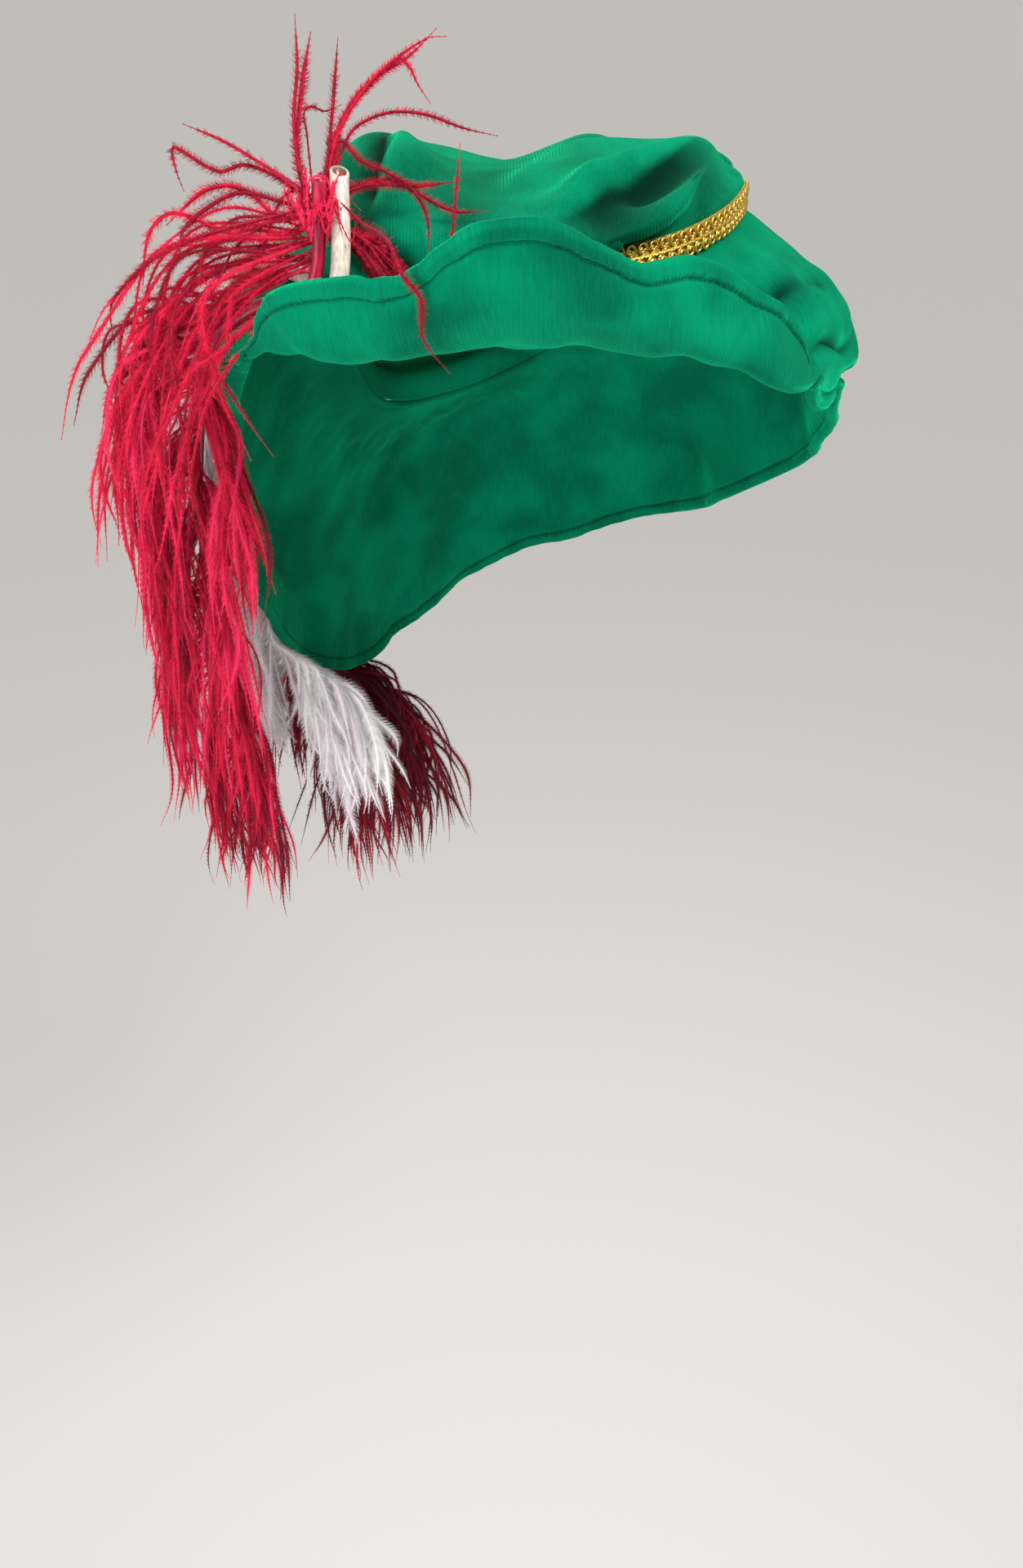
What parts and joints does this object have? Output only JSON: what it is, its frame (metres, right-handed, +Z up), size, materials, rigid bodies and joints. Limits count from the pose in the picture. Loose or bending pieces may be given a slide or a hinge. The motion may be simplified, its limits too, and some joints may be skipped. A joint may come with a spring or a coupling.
{
  "type": "feathered hat",
  "caption": "Soft velvet beret with a gathered crown, a wide floppy brim, a gold braid band over the seam, and ostrich plumes that hang beside and behind it.",
  "frame": {"origin": "middle of the head opening, near the height of the seam over the brow, where the hat sits on a head", "axes": "+Z up as worn, the front of the hat faces -Y, +X is on the right of someone who looks at the front"},
  "size_m": [0.3043, 0.3406, 0.4455],
  "materials": {
    "crown_velvet": "cotton velvet with a short pile",
    "brim_velvet": "cotton velvet, two layers, stitched near the edge",
    "gold_braid": "shiny metallic gimp braid",
    "red_feather": "dyed ostrich feather",
    "white_feather": "pale ostrich feather with a cream quill",
    "dark_red_feather": "dyed ostrich feather, darker"
  },
  "bodies": {
    "root": {"crown": "crown_velvet", "brim": "brim_velvet", "braid_band": "gold_braid", "red_plume": "red_feather", "white_plume": "white_feather", "back_plume": "dark_red_feather"}
  },
  "joints": []
}
